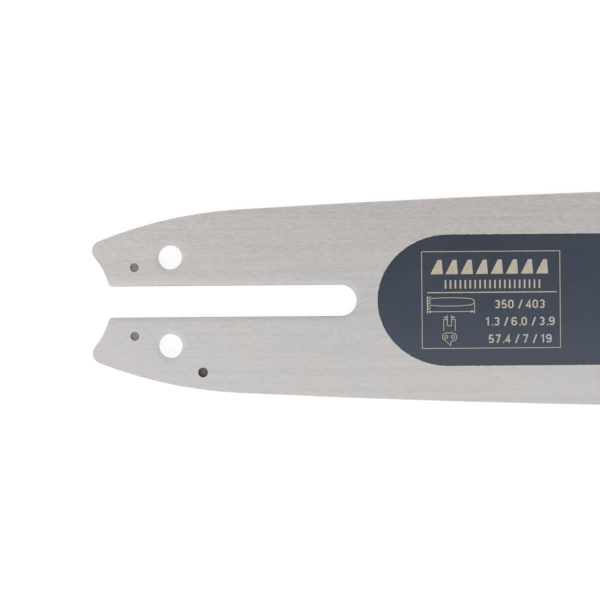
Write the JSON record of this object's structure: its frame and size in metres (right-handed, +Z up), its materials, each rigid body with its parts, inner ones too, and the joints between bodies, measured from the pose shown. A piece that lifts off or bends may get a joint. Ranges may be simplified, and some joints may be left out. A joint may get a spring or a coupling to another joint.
{
  "type": "chainsaw guide bar",
  "caption": "Flat laminated steel guide bar with an open stud slot and horned tail, a chain groove round its edge and a toothed wheel turning on rollers in its nose.",
  "frame": {"origin": "middle of the bar's bounding box, on its rear face", "axes": "+X along the bar from tail to nose, +Y across the bar, +Z up through the plates to the printed front face"},
  "size_m": [0.405, 0.0574, 0.0039],
  "materials": {
    "bar_steel": "satin",
    "core_steel": "satin",
    "wheel_steel": "satin",
    "bearing_steel": "gloss",
    "rivet_steel": "satin",
    "panel_paint": "satin",
    "print_ink": "satin"
  },
  "bodies": {
    "bar": {"front_side_plate": "bar_steel", "core_plate": "core_steel", "rear_side_plate": "bar_steel", "bearing_race": "bearing_steel", "nose_rivets": "rivet_steel"},
    "star_wheel": {"nose_sprocket": "wheel_steel"},
    "roller_ring": {"bearing_roller_01": "bearing_steel", "bearing_roller_02": "bearing_steel", "bearing_roller_03": "bearing_steel", "bearing_roller_04": "bearing_steel", "bearing_roller_05": "bearing_steel", "bearing_roller_06": "bearing_steel", "bearing_roller_07": "bearing_steel", "bearing_roller_08": "bearing_steel", "bearing_roller_09": "bearing_steel", "bearing_roller_10": "bearing_steel", "bearing_roller_11": "bearing_steel", "bearing_roller_12": "bearing_steel", "bearing_roller_13": "bearing_steel", "bearing_roller_14": "bearing_steel", "bearing_roller_15": "bearing_steel", "bearing_roller_16": "bearing_steel", "bearing_roller_17": "bearing_steel", "bearing_roller_18": "bearing_steel", "bearing_roller_19": "bearing_steel"}
  },
  "joints": [
    {"name": "sprocket_spin", "type": "hinge", "parent": "bar", "child": "star_wheel", "pos_m": [0.1835, 0, 0.00195], "axis": [0, 0, 1], "continuous": true},
    {"name": "roller_orbit", "type": "hinge", "parent": "bar", "child": "roller_ring", "pos_m": [0.1835, 0, 0.00195], "axis": [0, 0, 1], "continuous": true}
  ],
  "couplings": [
    {"joint": "roller_orbit", "follows": "sprocket_spin", "ratio": 0.58134}
  ]
}
